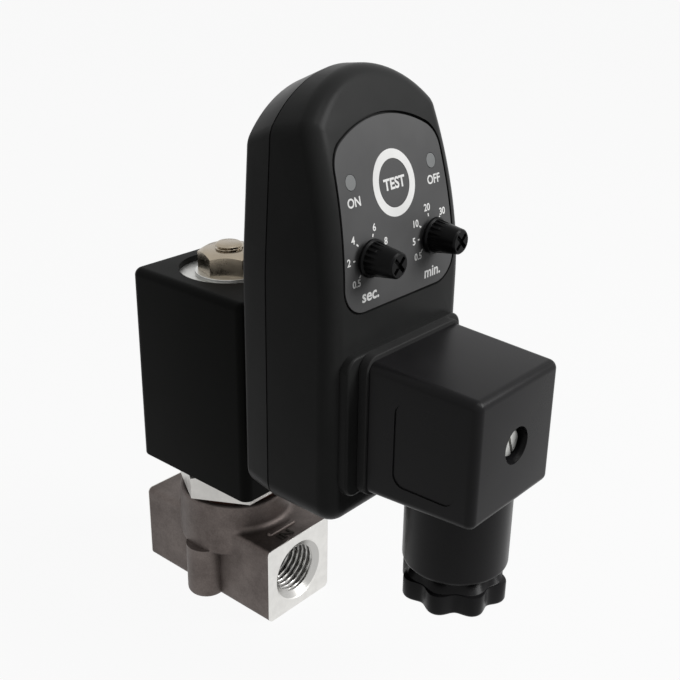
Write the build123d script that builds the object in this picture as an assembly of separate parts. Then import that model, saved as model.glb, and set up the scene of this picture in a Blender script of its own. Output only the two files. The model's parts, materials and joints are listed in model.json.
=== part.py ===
from build123d import *
import math
import os

# Automatic drain valve: a direct-acting solenoid valve with an adjustable electronic timer.
# Millimetres. The origin is on the armature axis in the plane that the valve body stands on.
# +Z is up along the armature, +X points to the inlet and to the timer's front, and Y is the
# symmetry plane's normal.

# ---------------------------------------------------------------- driving dimensions
# Valve body
port_span = 41.2            # over the two port faces
block_width = 19.8          # port block, along Y
block_height = 19.0         # port block, along Z
block_edge = 1.2            # rounding of the block's long edges
boss_r = 13.0               # round boss that takes the bonnet
boss_rise = 6.6             # boss above the port block
boss_skirt = 6.8            # boss below the top of the port block
boss_fillet = 1.5           # foot of the boss on the port block
boss_rim = 0.8              # rounded upper rim of the boss
port_minor_r = 5.72         # G1/4 internal thread, minor radius
port_depth = 11.0           # length of the port's thread
port_mouth_r = 7.4          # countersink at the port's face
port_mouth = 1.2            # depth of the countersink
drill_r = 2.6               # drilled way behind each port
drill_wall = 1.2            # wall between the two drilled ways at the seat
foot_r = 4.6                # screw boss on each side of the body
foot_edge = 1.2             # rounded lower end of a screw boss
foot_spacing = 20.0         # between the two screw holes, along Y
foot_hole_r = 2.1           # M5 tapped hole, minor radius
foot_hole_depth = 9.0
chamber_r = 7.8             # valve chamber round the seat
chamber_floor = 14.6
seat_outer_r = 3.4
seat_height = 2.8           # seat above the chamber's floor
orifice_r = 1.5
feed_r = 1.6                # rising hole from the inlet into the chamber
ledge_z = 18.2              # ledge that carries the guide tube's flange

# Bonnet, guide tube and armature
spigot_r = 10.0             # bonnet's threaded spigot and its bore in the body
bonnet_flats = 24.0
bonnet_height = 6.6
bonnet_chamfer = 0.8
seal_section = 0.8          # body seal, squeezed between the boss and the bonnet
tube_r = 6.5
tube_wall = 0.5
tube_flange_r = 9.5
tube_flange = 0.8
plunger_length = 26.0
plunger_gap = 0.08          # running clearance of the plunger in the tube, radial
plunger_flutes = 4          # grooves that let the liquid past the plunger
flute_r = 1.0
lift = 1.8                  # stroke of the plunger
stop_gap = 0.2              # air left between the plunger and the core at full lift
seal_disc_r = 4.2
seal_disc = 2.2
seal_proud = 0.5            # seal disc below the plunger's end
spring_pocket_r = 3.4
spring_pocket = 9.0
spring_r = 2.5
spring_wire = 0.5
spring_turns = 7
core_collar = 1.0

# Coil
coil_rear = 15.1            # from the armature axis to the coil's rear face
coil_front = 19.3           # from the armature axis to the coil's front face
coil_width = 30.2
coil_height = 45.5
coil_lift = 0.2             # air under the coil
coil_corner = 2.2           # vertical edges
coil_rim = 1.8              # top edges
coil_bore_gap = 0.1         # coil's bore round the guide tube, radial
coil_recess_r = 11.0
coil_recess = 1.4
coil_under_r = 9.0
coil_under = 1.0
yoke_plate = 2.5
yoke_width = 22.0
yoke_inner = 11.3           # from the armature axis to the yoke's back plate
bobbin_wall = 1.2
bobbin_flange = 1.0
winding_r = 10.8
bobbin_r = 11.1
pedestal = 2.2              # connector base on the coil's front
pedestal_size = 27.4
pedestal_corner = 2.5

# Coil nut
stud_r = 3.0
stud_out = 1.3              # stud above the nut
nut_flats = 12.0
nut_height = 4.8
nut_chamfer = 0.7
washer_r = 7.5
washer = 0.8

# Connector pattern, shared by the coil, the timer and the plug
connector_z = 62.1          # height of the connector's centre above the base
blade_pitch = 18.0          # between the two power blades
ground_rise = 8.5           # earth blade above the connector's centre
blade_width = 6.3
blade = 0.8
blade_out = 9.0             # free length of a blade
blade_root = 5.0
blade_tip = 1.0             # chamfer at a blade's tip
slot_gap = 0.35             # air round a blade in a wall or seal
clip_leaf = 0.45            # sheet of a female contact
clip_gap = 0.04             # clip's leaf from the blade
clip_air = 0.3              # clip's closed end beyond the blade's tip
clip_pocket_gap = 0.15
gasket = 1.9
gasket_size = 29.2
gasket_corner = 3.0
screw_r = 1.5
screw_gap = 0.25
insert_r = 2.6              # brass insert in the coil for the long screw
insert_length = 7.0

# Timer
timer_depth = 23.7
timer_rear_shell = 7.6      # depth of the rear shell, up to the seam
timer_width = 40.0
timer_base = 40.9           # underside above the base
timer_crown = 127.2         # top of the arch in the plane of the flat front
timer_seam_crown = 125.2    # top of the arch at the seam
timer_rear_crown = 121.8    # top of the arch at the rear face
timer_rear_narrow = 0.9     # rear face narrower than the seam, each side
shoulder_drop = 8.0         # where the sides meet the arch, below its crown
seam_shoulder_drop = 9.6    # the same at the seam and behind it
shoulder_narrow = 1.7       # sides lean in by this much, each
shoulder_corner = 4.5
side_kink_z = 90.0          # where the sides begin to lean in
side_blend = 100.0
base_corner = 5.0
face_bend_z = 83.2          # where the front begins to curve back
face_radius = 92.2          # radius of the front's curve
front_edge = 3.6            # rounding round the front
rear_edge = 1.6
timer_wall = 2.0
seam_groove = 0.35          # hairline round the rear shell where the two shells meet
seam_groove_depth = 0.3
boss_proud = 1.9            # plug boss on the timer's front
plug_boss_width = 35.0
plug_boss_height = 29.0
plug_boss_corner = 3.0
plug_boss_edge = 0.6
tower_size = 25.0           # moulded block round the contacts
tower_depth = 7.4
tube_wall_screw = 1.6       # wall of the moulded tube round the long screw

# Timer panel
label_base = 83.9           # lower edge of the label above the base
label_crown = 117.2
label_width = 33.0          # at its widest, near the lower edge
label_top_width = 29.8
label_shoulder = 4.8        # label's arch begins below its crown
label_corner = 5.4
label_sheet = 0.3
label_groove = 0.5          # groove round the label
groove_depth = 0.7
button_r = 4.3
button_gap = 0.12
button_z = 105.3
button_travel = 0.5
button_rest_gap = 0.06      # air at rest under the button and behind its collar
button_collar = 0.9         # collar behind the wall, radial
button_tip = 0.8
lamp_r = 1.35
lamp_y = 11.7
lamp_z = 107.4
knob_y = 9.4
knob_z = 93.8
knob_r = 2.45
knob_base_r = 3.2
knob_skirt_r = 3.6
knob_skirt = 0.8
knob_length = 6.4
knob_hold = 0.3             # knob's skirt clear of the label
knob_flutes = 18
knob_flute_r = 0.36
knob_cap = 1.3              # plain rim at the knob's end
knob_slot = 0.8
knob_slot_depth = 0.7
knob_stem_r = 1.5
knob_stem_hole_gap = 0.25
spindle_gap = 0.06

# Timer's board
board = 1.6
board_gap = 0.3
board_back = 13.4           # board's rear face behind the timer's front plane
pot_size = 9.0
pot_depth = 4.6
switch_size = 6.0
switch_body = 2.6
switch_tip_r = 1.7
switch_tip = 0.7
case_screw_r = 1.2
case_head_r = 2.2
case_head = 1.5
case_screw_y = timer_width / 2 - 4.6
case_screw_low_z = timer_base + 4.3
case_screw_high_z = 112.6
case_screw_high_in = 4.0    # upper case screws nearer the middle
case_post_r = 2.9
case_screw_length = 15.0

# Plug
plug_gasket = 2.05
plug_width = 28.0
plug_height = 27.3
plug_depth = 23.5
plug_draft = 2.0            # degrees
plug_edge = 1.8
plug_wall = 1.8
plug_block_depth = 11.0
plug_block_gap = 0.1
plug_block_low = 6.5        # terminal block's underside below the connector's centre
screw_hole_r = 3.7
screw_sink = 4.2            # depth of the hole over the screw's head
screw_head_r = 2.8
screw_head = 2.2
screw_seal = 0.6
screw_slot = 0.7
terminal_screw_r = 1.3
grip_panel_depth = 0.25
grip_panel_length = 13.6
grip_panel_height = 17.3
grip_panel_ahead = 1.0      # panel's middle beyond the plug's
grip_panel_drop = 0.6       # panel's middle below the connector's centre
grip_panel_corner = 2.5

# Gland
gland_reach = 11.85         # from the plug's base plane to the gland's axis
neck_r = 10.5
neck_length = 15.7
neck_wall = 2.3
neck_rim = 1.2
grommet_r = 7.4
grommet = 4.6
cable_r = 4.0
nut_bore_r = 5.2
gland_nut_r = 10.8
gland_nut_head = 6.5
gland_flange = 4.6          # lobed part of the nut's head
gland_collar_r = 9.9        # foot of the collar above the lobes
gland_collar_top_r = 8.6
gland_nut_gap = 0.6         # between the neck and the nut's head
gland_thread_gap = 0.08
gland_lobes = 8
lobe_r = 2.6                # hollow between two lobes
lobe_depth = 1.6
lobe_turn = 15.0            # degrees from +X to a lobe
lobe_edge = 0.8             # rounded lower rim of the lobes
gland_washer = 0.6

# ---------------------------------------------------------------- levels and planes
port_z = block_height / 2
body_top = block_height + boss_rise
seat_z = chamber_floor + seat_height
bonnet_low = body_top + seal_section
bonnet_top = bonnet_low + bonnet_height
coil_base = bonnet_top + coil_lift
coil_top = coil_base + coil_height
yoke_top = coil_top - coil_recess
plunger_low = seat_z + seal_proud
plunger_top = plunger_low + plunger_length
core_low = plunger_top + lift + stop_gap
tube_top = yoke_top - core_collar - stop_gap
nut_low = yoke_top + washer
nut_top = nut_low + nut_height
pedestal_x = coil_front + pedestal
insert_start = pedestal_x - insert_length
timer_back = pedestal_x + gasket
timer_front = timer_back + timer_depth
seam_x = timer_back + timer_rear_shell
boss_x = timer_front + boss_proud
plug_x = boss_x + plug_gasket
plug_end = plug_x + plug_depth
gland_x = plug_x + gland_reach
plug_low = connector_z - plug_height / 2
neck_low = plug_low - neck_length
gland_nut_top = neck_low - gland_nut_gap
gland_nut_low = gland_nut_top - gland_nut_head
board_x = timer_front - board_back
board_front = board_x + board
screw_seat = plug_end - screw_sink


def cylinder_z(radius, low, high, x=0.0, y=0.0):
    """Upright cylinder between two levels."""
    return Pos(x, y, low) * extrude(Circle(radius), high - low)


def cylinder_x(radius, start, end, y=0.0, z=0.0):
    """Cylinder lying along X between two planes."""
    return Pos(start, y, z) * (Plane.YZ * extrude(Circle(radius), end - start))


def box_between(x0, x1, y0, y1, z0, z1):
    """Box given by its limits."""
    return Pos((x0 + x1) / 2, (y0 + y1) / 2, (z0 + z1) / 2) * Box(x1 - x0, y1 - y0, z1 - z0)


def plate_x(width, height, corner, start, end, z=connector_z):
    """Round-cornered plate standing across X, centred on the connector."""
    return Pos(start, 0, z) * (Plane.YZ * extrude(RectangleRounded(width, height, corner), end - start))


def hexagon(flats, low, high, vertex_angle=0.0):
    """Upright hexagonal prism given by its width across flats."""
    return Pos(0, 0, low) * extrude(RegularPolygon(flats / math.sqrt(3), 6, rotation=vertex_angle), high - low)


def crowned_hexagon(flats, low, high, chamfer, vertex_angle, both=False):
    """Hexagonal prism whose corners are turned down at 30 degrees at the top, or at both ends."""
    corner_r = flats / math.sqrt(3)
    drop = (corner_r - flats / 2 + chamfer) * math.tan(math.radians(30))
    flat_r = flats / 2 - chamfer
    foot = drop if both else 0
    foot_r_ = flat_r if both else corner_r + 1
    profile = Polyline(
        (0, low), (foot_r_, low), (corner_r, low + foot), (corner_r + 1, low + foot + 0.01),
        (corner_r + 1, high - drop - 0.01), (corner_r, high - drop), (flat_r, high), (0, high), close=True)
    turned = revolve(Plane.XZ * make_face(profile), Axis.Z)
    return hexagon(flats, low, high, vertex_angle) & turned


# ---------------------------------------------------------------- valve body and armature
def make_valve_body():
    """Cast body: a port block on X, a round boss for the bonnet and a screw boss on each side."""
    block = box_between(-port_span / 2, port_span / 2, -block_width / 2, block_width / 2, 0, block_height)
    block = fillet(block.edges().filter_by(Axis.X), block_edge)
    boss_low = block_height - boss_skirt
    boss = cylinder_z(boss_r, boss_low, body_top)
    boss = fillet(boss.edges().group_by(Axis.Z)[-1], boss_rim)
    boss = chamfer(boss.edges().group_by(Axis.Z)[0], boss_rim)
    body = block + boss
    crease = [e for e in body.edges() if abs(e.center().Z - block_height) < 0.01 and e.geom_type == GeomType.CIRCLE
              and abs(e.radius - boss_r) < 0.01]
    if crease:
        body = fillet(crease, boss_fillet)
    for side in (-1, 1):
        foot = cylinder_z(foot_r, 0, boss_low + boss_rim + 0.1, 0, side * foot_spacing / 2)
        body += fillet(foot.edges().group_by(Axis.Z)[0], foot_edge)
    for side in (-1, 1):
        body -= cylinder_z(foot_hole_r, -1, foot_hole_depth, 0, side * foot_spacing / 2)
        end = side * port_span / 2
        body -= cylinder_x(port_minor_r, end - side * port_depth, end + side, 0, port_z)
        mouth = Plane.YZ * loft([Circle(port_minor_r), Pos(0, 0, side * port_mouth) * Circle(port_mouth_r)])
        body -= Pos(end - side * port_mouth, 0, port_z) * mouth
    body -= cylinder_z(spigot_r, ledge_z, body_top + 1)
    body -= cylinder_z(chamber_r, chamber_floor, ledge_z + 1)
    body += cylinder_z(seat_outer_r, chamber_floor, seat_z)
    body -= cylinder_z(orifice_r, port_z, seat_z + 1)
    outlet_end = orifice_r + 0.2
    inlet_end = outlet_end + drill_wall
    feed_x = inlet_end + feed_r
    body -= cylinder_x(drill_r, -port_span / 2 + port_depth - 0.5, outlet_end, 0, port_z)
    body -= cylinder_x(drill_r, inlet_end, port_span / 2 - port_depth + 0.5, 0, port_z)
    body -= cylinder_z(feed_r, port_z, chamber_floor + 0.5, feed_x)
    return body


def make_body_seal():
    """Flat ring between the boss and the bonnet's hexagon."""
    return cylinder_z(bonnet_flats / 2 - 0.3, body_top, bonnet_low) - cylinder_z(spigot_r + 0.2, body_top - 1, bonnet_low + 1)


def make_bonnet():
    """Hexagonal bonnet screwed into the body, which holds the guide tube by its flange."""
    bonnet = crowned_hexagon(bonnet_flats, bonnet_low, bonnet_top, bonnet_chamfer, 30)
    bonnet += cylinder_z(spigot_r - 0.02, ledge_z + tube_flange, bonnet_low + 0.5)
    return bonnet - cylinder_z(tube_r + 0.03, 0, bonnet_top + 1)


def make_guide_tube():
    """Thin stainless tube with a flange at its foot."""
    tube = cylinder_z(tube_r, ledge_z, tube_top) + cylinder_z(tube_flange_r, ledge_z, ledge_z + tube_flange)
    return tube - cylinder_z(tube_r - tube_wall, 0, tube_top + 1)


def make_fixed_core():
    """Core welded into the tube's top end, with the stud for the coil nut."""
    core = cylinder_z(tube_r - tube_wall, core_low, tube_top) + cylinder_z(tube_r, tube_top, tube_top + core_collar)
    stud = cylinder_z(stud_r, tube_top, nut_top + stud_out)
    stud = chamfer(stud.edges().group_by(Axis.Z)[-1], 0.5)
    return chamfer(core.edges().group_by(Axis.Z)[0], 0.6) + stud


def make_plunger():
    """Fluted armature with a pocket for the spring above and one for the seal disc below."""
    radius = tube_r - tube_wall - plunger_gap
    plunger = cylinder_z(radius, plunger_low, plunger_top)
    plunger = chamfer(plunger.edges().group_by(Axis.Z)[-1], 0.4)
    plunger -= cylinder_z(spring_pocket_r, plunger_top - spring_pocket, plunger_top + 1)
    plunger -= cylinder_z(seal_disc_r, plunger_low - 1, plunger_low + seal_disc - seal_proud)
    for n in range(plunger_flutes):
        a = math.radians(45 + n * 360 / plunger_flutes)
        plunger -= cylinder_z(flute_r, 0, plunger_top + 1, (radius + 0.4) * math.cos(a), (radius + 0.4) * math.sin(a))
    return plunger


def make_plunger_seal():
    """Rubber disc that closes the orifice."""
    return cylinder_z(seal_disc_r - 0.01, seat_z, seat_z + seal_disc)


def make_plunger_spring():
    """Closing spring between the plunger's pocket and the core."""
    low = plunger_top - spring_pocket + spring_wire / 2
    height = core_low - spring_wire / 2 - low
    path = Helix(pitch=height / spring_turns, height=height, radius=spring_r)
    section = Plane(origin=path @ 0, z_dir=path % 0) * Circle(spring_wire / 2)
    return Pos(0, 0, low) * sweep(section, path=path)


# ---------------------------------------------------------------- coil
def make_coil_yoke():
    """Steel bracket: a top and a bottom plate joined by a plate behind the winding."""
    plate_low = coil_base + coil_under
    outer = box_between(-yoke_inner - yoke_plate, yoke_inner, -yoke_width / 2, yoke_width / 2, plate_low, yoke_top)
    gap = box_between(-yoke_inner, yoke_inner + 1, -yoke_width, yoke_width, plate_low + yoke_plate, yoke_top - yoke_plate)
    return outer - gap - cylinder_z(tube_r + coil_bore_gap, 0, coil_top)


def bobbin_levels():
    """Lower and upper level of the bobbin, between the yoke's plates."""
    return coil_base + coil_under + yoke_plate, yoke_top - yoke_plate


def make_bobbin():
    """Moulded spool that the wire is wound on."""
    low, high = bobbin_levels()
    hub_r = tube_r + coil_bore_gap + bobbin_wall
    spool = cylinder_z(hub_r, low, high)
    spool += cylinder_z(bobbin_r, low, low + bobbin_flange) + cylinder_z(bobbin_r, high - bobbin_flange, high)
    return spool - cylinder_z(tube_r + coil_bore_gap, 0, coil_top)


def make_winding():
    """Copper winding as one closed ring."""
    low, high = bobbin_levels()
    hub_r = tube_r + coil_bore_gap + bobbin_wall
    ring = cylinder_z(winding_r, low + bobbin_flange, high - bobbin_flange)
    return ring - cylinder_z(hub_r, low, high)


def blade_box(start, end, index, grow=0.0):
    """One of the three blades: two upright power blades and a level earth blade."""
    half_t, half_w = blade / 2 + grow, blade_width / 2 + grow
    if index == 2:
        z = connector_z + ground_rise
        return box_between(start, end, -half_w, half_w, z - half_t, z + half_t)
    y = (index * 2 - 1) * blade_pitch / 2
    return box_between(start, end, y - half_t, y + half_t, connector_z - half_w, connector_z + half_w)


def make_blades(face_x, root):
    """Three tin-plated blades that stand out of a face, with chamfered tips."""
    blades = []
    for index in range(3):
        solid = blade_box(face_x - root, face_x + blade_out, index)
        tip = solid.faces().sort_by(Axis.X)[-1].edges()
        blades.append(chamfer([e for e in tip if abs(e.length - blade) < 0.01], blade_tip))
    return Compound(children=blades)


def cut_blades(part, start, end, grow=slot_gap):
    """Slots for the three blades."""
    for index in range(3):
        part -= blade_box(start, end, index, grow)
    return part


def make_coil_housing():
    """Moulded block round the winding and yoke, with the connector base on its front."""
    block = box_between(-coil_rear, coil_front, -coil_width / 2, coil_width / 2, coil_base, coil_top)
    block = fillet(block.edges().filter_by(Axis.Z), coil_corner)
    block = fillet(block.edges().group_by(Axis.Z)[-1], coil_rim)
    block = fillet(block.edges().group_by(Axis.Z)[0], 0.4)
    block += plate_x(pedestal_size, pedestal_size, pedestal_corner, coil_front - 1, pedestal_x)
    low, high = bobbin_levels()
    block -= cylinder_z(bobbin_r, low, high)
    block -= box_between(-yoke_inner - yoke_plate, yoke_inner, -yoke_width / 2, yoke_width / 2, coil_base + coil_under, low)
    block -= box_between(-yoke_inner - yoke_plate, yoke_inner, -yoke_width / 2, yoke_width / 2, high, yoke_top)
    block -= box_between(-yoke_inner - yoke_plate, -yoke_inner, -yoke_width / 2, yoke_width / 2, low, high)
    block -= cylinder_z(tube_r + coil_bore_gap, 0, coil_top + 1)
    block -= cylinder_z(coil_recess_r, yoke_top, coil_top + 1)
    block -= cylinder_z(coil_under_r, coil_base - 1, coil_base + coil_under)
    block = cut_blades(block, pedestal_x - blade_root, pedestal_x + 1, 0)
    return block - cylinder_x(insert_r, insert_start, pedestal_x + 1, 0, connector_z)



def make_coil_insert():
    """Brass insert that takes the end of the long plug screw."""
    return cylinder_x(insert_r, insert_start, pedestal_x, 0, connector_z) - cylinder_x(
        screw_r + 0.03, insert_start - 1, pedestal_x + 1, 0, connector_z)


def make_coil_washer():
    """Washer between the yoke and the coil nut."""
    return cylinder_z(washer_r, yoke_top, nut_low) - cylinder_z(stud_r + 0.2, 0, nut_low + 1)


def make_coil_nut():
    """Hexagon nut on the core's stud."""
    return crowned_hexagon(nut_flats, nut_low, nut_top, nut_chamfer, 30 - 50) - cylinder_z(stud_r + 0.03, 0, nut_top + 1)


def make_gasket(start, thickness, size):
    """Profile seal with slots for the blades and a hole for the screw."""
    sheet = plate_x(size, size, gasket_corner, start, start + thickness)
    sheet = cut_blades(sheet, start - 1, start + thickness + 1)
    return sheet - cylinder_x(screw_r + screw_gap, start - 1, start + thickness + 1, 0, connector_z)


# ---------------------------------------------------------------- timer
def timer_outline(inset=0.0, narrow=0.0, crown=timer_seam_crown, low=timer_base, drop=seam_shoulder_drop):
    """Front view of the timer: upright sides that lean in a little, under a round arch."""
    w = timer_width / 2 - inset - narrow
    top_w = w - shoulder_narrow
    base, top = low + inset, crown - inset
    shoulder = top - drop
    sides = [(-top_w, shoulder), (-w, side_kink_z), (-w, base), (w, base), (w, side_kink_z), (top_w, shoulder)]
    edge = Polyline(*sides) + ThreePointArc((top_w, shoulder), (0, top), (-top_w, shoulder))
    face = make_face(edge)
    face = fillet([v for v in face.vertices() if abs(v.Y - side_kink_z) < 0.01], side_blend)
    face = fillet([v for v in face.vertices() if abs(v.Y - shoulder) < 0.01], shoulder_corner - inset)
    return fillet([v for v in face.vertices() if abs(v.Y - base) < 0.01], base_corner - inset)


def front_region(inset=0.0, back=timer_back, low=timer_base - 5, half=timer_width):
    """Everything behind the timer's front surface, which is flat below and curves back above."""
    r = face_radius - inset
    turn = 34.0
    centre_x = timer_front - face_radius
    end = (centre_x + r * math.cos(math.radians(turn)), face_bend_z + r * math.sin(math.radians(turn)))
    rim = Polyline((end[0], end[1]), (back, end[1]), (back, low), (centre_x + r, low), (centre_x + r, face_bend_z))
    rim += CenterArc((centre_x, face_bend_z), r, 0, turn)
    return extrude(Plane.XZ * make_face(rim), half, both=True)


def front_x(z):
    """X of the timer's front surface at a height."""
    rise = max(0.0, z - face_bend_z)
    return timer_front - face_radius + math.sqrt(face_radius ** 2 - rise ** 2)


def slab(outline, start, end):
    """A front-view outline given thickness along X."""
    return Pos(start, 0, 0) * (Plane.YZ * extrude(outline, end - start))


def timer_solid():
    """The timer's outer form, without its seam."""
    seam_face = Pos(seam_x, 0, 0) * (Plane.YZ * timer_outline())
    front_face = Pos(timer_front, 0, 0) * (Plane.YZ * timer_outline(crown=timer_crown, drop=shoulder_drop))
    front = loft([seam_face, front_face]) & front_region(back=seam_x)
    faces = front.faces().filter_by(lambda f: f.normal_at(f.center()).X > 0.8)
    rim = []
    for f in faces:
        for e in f.edges():
            flat = abs(e.bounding_box().size.Z) < 0.01 and abs(e.center().Z - face_bend_z) < 0.01
            if not flat:
                rim.append(e)
    return fillet(rim, front_edge)


def rear_solid():
    """The rear shell's outer form, drafted from the seam to the rear face."""
    rear_face = Pos(timer_back, 0, 0) * (Plane.YZ * timer_outline(0, timer_rear_narrow, timer_rear_crown, timer_base + 0.6))
    seam_face = Pos(seam_x, 0, 0) * (Plane.YZ * timer_outline())
    solid = loft([rear_face, seam_face])
    return fillet(solid.faces().sort_by(Axis.X)[0].edges(), rear_edge)


def case_screw_points():
    """Places of the four case screws in the front view."""
    low = [(side * case_screw_y, case_screw_low_z) for side in (-1, 1)]
    high = [(side * (case_screw_y - case_screw_high_in), case_screw_high_z) for side in (-1, 1)]
    return low + high


def make_timer_rear_shell():
    """Rear shell with the female contacts' tower, the screw tube and four screw posts."""
    shell = rear_solid()
    shell -= slab(timer_outline(timer_wall, timer_rear_narrow, timer_rear_crown, timer_base + 0.6), timer_back + timer_wall, seam_x + 1)
    shell += plate_x(tower_size, tower_size, 1.0, timer_back + 0.5, timer_back + timer_wall + tower_depth)
    for index in range(3):
        pocket = blade_box(timer_back + timer_wall / 2, seam_x + 5, index, clip_leaf + clip_gap + clip_pocket_gap)
        shell -= pocket
    shell = cut_blades(shell, timer_back - 1, timer_back + timer_wall)
    for y, z in case_screw_points():
        shell += cylinder_x(case_post_r, timer_back + 1, seam_x, y, z) & rear_solid()
        shell -= cylinder_x(case_screw_r + 0.1, timer_back - 1, seam_x + 1, y, z)
        shell -= cylinder_x(case_head_r + 0.2, timer_back - 1, timer_back + case_head + 0.6, y, z)
    groove = slab(timer_outline(-1), seam_x - seam_groove, seam_x + 1)
    shell -= groove - slab(timer_outline(seam_groove_depth), timer_back, seam_x + 2)
    return shell - cylinder_x(screw_r + screw_gap, timer_back - 1, seam_x + 5, 0, connector_z)


def label_outline(grow=0.0):
    """Front view of the label: a rounded trapezium under a flat arch."""
    low, top = label_base - grow, label_crown + grow
    w, top_w = label_width / 2 + grow, label_top_width / 2 + grow
    shoulder = top - label_shoulder
    edge = Polyline((-top_w, shoulder), (-w, low), (w, low), (top_w, shoulder))
    edge += ThreePointArc((top_w, shoulder), (0, top), (-top_w, shoulder))
    face = make_face(edge)
    return fillet(face.vertices(), label_corner + grow)


def panel_layer(outline, depth_from, depth_to):
    """A layer of the front surface within an outline, between two depths below the surface."""
    column = slab(outline, timer_front - 25, timer_front + 1)
    return (column & front_region(depth_from)) - front_region(depth_to)


def make_timer_front_shell():
    """Front shell with its panel recess, openings, plug boss, contact tower and screw posts."""
    shell = timer_solid()
    hollow = slab(timer_outline(timer_wall), seam_x - 1, timer_front) & front_region(timer_wall, seam_x - 1)
    shell -= hollow
    boss = plate_x(plug_boss_width, plug_boss_height, plug_boss_corner, timer_front - 0.5, boss_x)
    boss = fillet(boss.faces().sort_by(Axis.X)[-1].edges(), plug_boss_edge)
    shell += boss
    shell += plate_x(tower_size, tower_size, 1.0, timer_front - timer_wall - tower_depth / 2, timer_front - 0.5)
    shell += cylinder_x(screw_r + screw_gap + tube_wall_screw, board_front + 0.2, timer_front - 1, 0, connector_z)
    for y, z in case_screw_points():
        post = cylinder_x(case_post_r, seam_x, timer_front, y, z) & front_region(timer_wall / 2, seam_x - 1)
        shell += post & slab(timer_outline(timer_wall / 2), seam_x - 1, timer_front)
        shell -= cylinder_x(case_screw_r, seam_x - 1, timer_back + case_screw_length + 1, y, z)
    shell -= panel_layer(label_outline(), -1, label_sheet)
    ring = panel_layer(label_outline(label_groove), -1, groove_depth) - slab(label_outline(), seam_x, timer_front + 2)
    shell -= ring
    shell = cut_blades(shell, board_front, boss_x + 1, 0)
    shell -= cylinder_x(screw_r + screw_gap, board_front - 1, boss_x + 1, 0, connector_z)
    shell -= cylinder_x(button_r + button_gap, board_front, timer_front + 1, 0, button_z)
    for side in (-1, 1):
        shell -= cylinder_x(lamp_r + 0.1, board_front, timer_front + 1, side * lamp_y, lamp_z)
        shell -= cylinder_x(knob_stem_r + knob_stem_hole_gap, board_front, timer_front + 1, side * knob_y, knob_z)
    return shell


def make_label_panel():
    """Printed label laid into the front shell."""
    sheet = panel_layer(label_outline(), 0, label_sheet)
    sheet -= cylinder_x(button_r + button_gap, seam_x, timer_front + 1, 0, button_z)
    for side in (-1, 1):
        sheet -= cylinder_x(lamp_r + 0.1, seam_x, timer_front + 1, side * lamp_y, lamp_z)
        sheet -= cylinder_x(knob_stem_r + knob_stem_hole_gap, seam_x, timer_front + 1, side * knob_y, knob_z)
    return sheet


def make_test_button():
    """Push cap whose face follows the panel, with a stem down to the switch."""
    tip_x = board_front + switch_body + switch_tip + button_travel + button_rest_gap
    collar_x = tip_x + button_tip
    cap = cylinder_x(button_r, collar_x, timer_front + 1, 0, button_z) & front_region()
    collar = cylinder_x(button_r + button_collar, collar_x, timer_front, 0, button_z)
    collar &= front_region(timer_wall + button_rest_gap * 2)
    return cap + collar + cylinder_x(switch_tip_r, tip_x, collar_x + 0.5, 0, button_z)


def make_lamp(side):
    """Round lens of one indicator lamp, standing on the board."""
    lens = cylinder_x(lamp_r, board_front, timer_front + 1, side * lamp_y, lamp_z) & front_region()
    return lens + cylinder_x(lamp_r + 0.5, board_front, board_front + 1.2, side * lamp_y, lamp_z)


def make_knob(side):
    """Fluted trimmer knob with a skirt, a cross slot and a stem into its potentiometer."""
    base_x = front_x(knob_z - knob_skirt_r) + knob_hold
    end_x = base_x + knob_length
    grip_x = base_x + knob_skirt
    place = Pos(0, side * knob_y, knob_z)
    profile = Polyline((base_x, 0), (base_x, knob_skirt_r), (grip_x - 0.3, knob_skirt_r), (grip_x, knob_skirt_r - 0.3),
                       (grip_x, knob_base_r), (end_x - 0.3, knob_r), (end_x, knob_r - 0.3), (end_x, 0), close=True)
    knob = revolve(make_face(profile), Axis.X)
    for n in range(knob_flutes):
        a = 2 * math.pi * n / knob_flutes
        cut = cylinder_x(knob_flute_r, grip_x, end_x - knob_cap, knob_base_r * math.cos(a), knob_base_r * math.sin(a))
        knob -= cut
    for a in (45, -45):
        slot = Box(knob_slot_depth * 2, knob_slot, knob_r * 1.5)
        knob -= Pos(end_x, 0, 0) * Rot(a, 0, 0) * slot
    knob += cylinder_x(knob_stem_r, board_front + 1.0, base_x)
    return place * knob


def make_pots():
    """Two potentiometers on the board; each hub takes a knob's stem."""
    pots = []
    for side in (-1, 1):
        y = side * knob_y
        body = box_between(board_front, board_front + pot_depth, y - pot_size / 2, y + pot_size / 2,
                           knob_z - pot_size / 2, knob_z + pot_size / 2)
        body = chamfer(body.edges().filter_by(Axis.X), 0.8)
        pots.append(body - cylinder_x(knob_stem_r + spindle_gap, board_front + 0.8, timer_front, y, knob_z))
    return Compound(children=pots)


def make_tact_switch():
    """Small switch under the test button."""
    half = switch_size / 2
    body = box_between(board_front, board_front + switch_body, -half, half, button_z - half, button_z + half)
    return body + cylinder_x(switch_tip_r, board_front, board_front + switch_body + switch_tip, 0, button_z)


def make_board():
    """Circuit board that fills the front shell's outline."""
    inset = timer_wall + board_gap
    sheet = slab(timer_outline(inset), board_x, board_front) & front_region(inset)
    sheet -= cylinder_x(screw_r + screw_gap + tube_wall_screw + board_gap, board_x - 1, board_front + 1, 0, connector_z)
    for y, z in case_screw_points():
        sheet -= cylinder_x(case_post_r + board_gap, board_x - 1, board_front + 1, y, z)
    return sheet


def make_board_parts():
    """Relay, bridge and capacitor on the rear of the board."""
    relay = box_between(board_x - 3.0, board_x, -9, 9, 80, 96)
    relay = fillet(relay.edges().filter_by(Axis.X), 0.8)
    capacitor = cylinder_x(3.2, board_x - 3.2, board_x, -8, 104)
    varistor = box_between(board_x - 2.6, board_x, 3, 12, 101.5, 106.5)
    return Compound(children=[relay, capacitor, varistor])


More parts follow.
